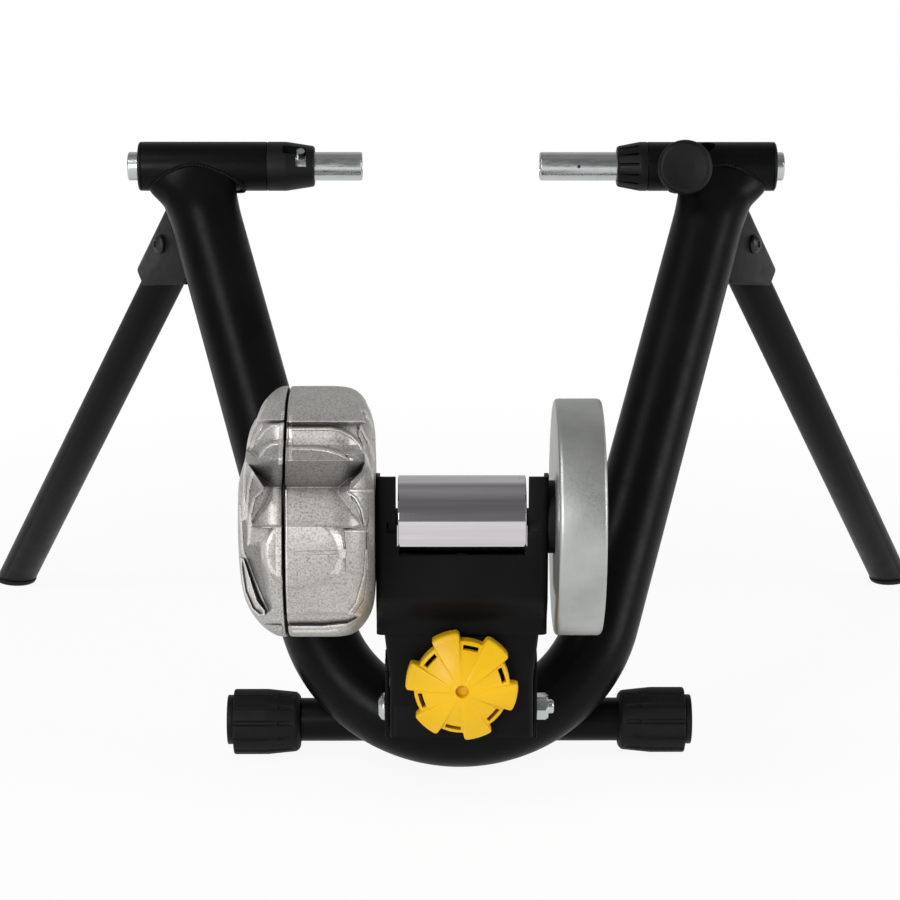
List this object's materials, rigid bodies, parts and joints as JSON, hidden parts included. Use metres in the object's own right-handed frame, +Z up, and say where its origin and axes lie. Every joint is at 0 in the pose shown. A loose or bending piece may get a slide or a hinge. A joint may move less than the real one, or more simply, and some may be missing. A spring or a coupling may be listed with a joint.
{
  "type": "wheel-on turbo trainer",
  "caption": "Folding wheel-on bicycle trainer with a leaning U frame, axle clamp bolts, a tilting fluid resistance unit and flywheel",
  "frame": {"origin": "bottom centre of the bounding box, on the floor", "axes": "+X to the right as seen from behind the bicycle, +Y towards the bicycle's front, +Z up"},
  "size_m": [0.8314, 0.6818, 0.4375],
  "materials": {
    "frame_black": "satin powder coat",
    "bracket_black": "satin powder coat",
    "plastic_black": "fine grain",
    "rubber_black": "matt",
    "zinc": "zinc plated",
    "steel_dark": "blackened",
    "chrome": "polished",
    "cast_aluminium": "sand cast, blasted",
    "cast_iron": "machined, clear coated",
    "knob_yellow": "gloss moulded"
  },
  "bodies": {
    "frame": {"u_frame": "frame_black", "cross_tube": "frame_black", "left_axle_housing": "frame_black", "right_axle_housing": "frame_black", "left_end_bush": "plastic_black", "right_end_bush": "plastic_black", "left_collar": "plastic_black", "left_leg_bracket": "bracket_black", "left_leg_bolt": "steel_dark", "left_leg_nut": "steel_dark", "right_leg_bracket": "bracket_black", "right_leg_bolt": "steel_dark", "right_leg_nut": "steel_dark", "left_pivot_ear": "frame_black", "right_pivot_ear": "frame_black", "pivot_bolt": "zinc", "pivot_nut": "zinc"},
    "left_bolt": {"left_axle_bolt": "zinc", "left_latch_pin": "zinc"},
    "right_bolt": {"right_axle_bolt": "zinc"},
    "lever": {"cam_ring": "steel_dark", "lever_stem": "steel_dark", "lever_knob": "plastic_black"},
    "ribbed_collar": {"right_collar": "plastic_black"},
    "left_leg": {"left_leg": "frame_black", "left_leg_foot": "rubber_black"},
    "right_leg": {"right_leg": "frame_black", "right_leg_foot": "rubber_black"},
    "left_cap": {"left_foot_cap": "rubber_black", "left_cap_disc": "plastic_black"},
    "right_cap": {"right_foot_cap": "rubber_black", "right_cap_disc": "plastic_black"},
    "swing": {"swing_bracket": "bracket_black", "yoke": "bracket_black", "left_yoke_nut": "steel_dark", "right_yoke_nut": "steel_dark", "pivot_spacer": "steel_dark", "knob_plate": "bracket_black", "unit_body": "cast_aluminium", "unit_cover": "cast_aluminium", "unit_gasket": "rubber_black", "shaft_seal": "rubber_black", "left_bearing": "steel_dark", "right_bearing": "steel_dark", "unit_screw_1": "steel_dark", "unit_screw_2": "steel_dark", "unit_screw_3": "steel_dark", "unit_screw_4": "steel_dark"},
    "spin": {"roller": "chrome", "shaft": "zinc", "flywheel": "cast_iron", "flywheel_nut": "zinc", "impeller": "cast_aluminium"},
    "barrel": {"barrel_nut": "steel_dark"},
    "knob": {"tension_rod": "zinc", "tension_knob": "knob_yellow"}
  },
  "joints": [
    {"name": "left_leg_fold", "type": "hinge", "parent": "frame", "child": "left_leg", "pos_m": [-0.21633, 0.06386, 0.34799], "axis": [-0.8508, -0.5222, 0.0578], "range_deg": [0, 68]},
    {"name": "right_leg_fold", "type": "hinge", "parent": "frame", "child": "right_leg", "pos_m": [0.21633, 0.06386, 0.34799], "axis": [-0.8508, 0.5222, -0.0578], "range_deg": [0, 68]},
    {"name": "unit_tilt", "type": "hinge", "parent": "frame", "child": "swing", "pos_m": [0, -0.23283, 0.065], "axis": [-1, 0, 0], "range_deg": [0, 12]},
    {"name": "knob_turn", "type": "hinge", "parent": "swing", "child": "knob", "pos_m": [0, -0.23283, 0.0945], "axis": [0, 1, 0], "range_deg": [0, 890.7]},
    {"name": "barrel_turn", "type": "hinge", "parent": "frame", "child": "barrel", "pos_m": [0, -0.23283, 0.0945], "axis": [-1, 0, 0], "range_deg": [0, 12.5]},
    {"name": "roller_spin", "type": "hinge", "parent": "swing", "child": "spin", "pos_m": [0, -0.25283, 0.208], "axis": [1, 0, 0], "continuous": true},
    {"name": "right_bolt_slide", "type": "slide", "parent": "frame", "child": "right_bolt", "axis": [1, 0, 0], "range_m": [0, 0.022]},
    {"name": "lever_turn", "type": "hinge", "parent": "right_bolt", "child": "lever", "pos_m": [0.172, 0.05517, 0.41], "axis": [-1, 0, 0], "range_deg": [0, 60.5]},
    {"name": "left_bolt_slide", "type": "slide", "parent": "frame", "child": "left_bolt", "axis": [-1, 0, 0], "range_m": [0, 0.01]},
    {"name": "ribbed_collar_turn", "type": "hinge", "parent": "frame", "child": "ribbed_collar", "pos_m": [0.136, 0.05517, 0.41], "axis": [1, 0, 0], "continuous": true},
    {"name": "left_cap_turn", "type": "hinge", "parent": "frame", "child": "left_cap", "pos_m": [-0.14, -0.14338, 0.025], "axis": [1, 0, 0], "range_deg": [-60, 60]},
    {"name": "right_cap_turn", "type": "hinge", "parent": "frame", "child": "right_cap", "pos_m": [0.14, -0.14338, 0.025], "axis": [1, 0, 0], "range_deg": [-60, 60]}
  ],
  "couplings": [
    {"joint": "knob_turn", "follows": "unit_tilt", "ratio": 74.142},
    {"joint": "barrel_turn", "follows": "unit_tilt", "ratio": 1},
    {"joint": "lever_turn", "follows": "right_bolt_slide", "rad_per_m": 47.6}
  ]
}
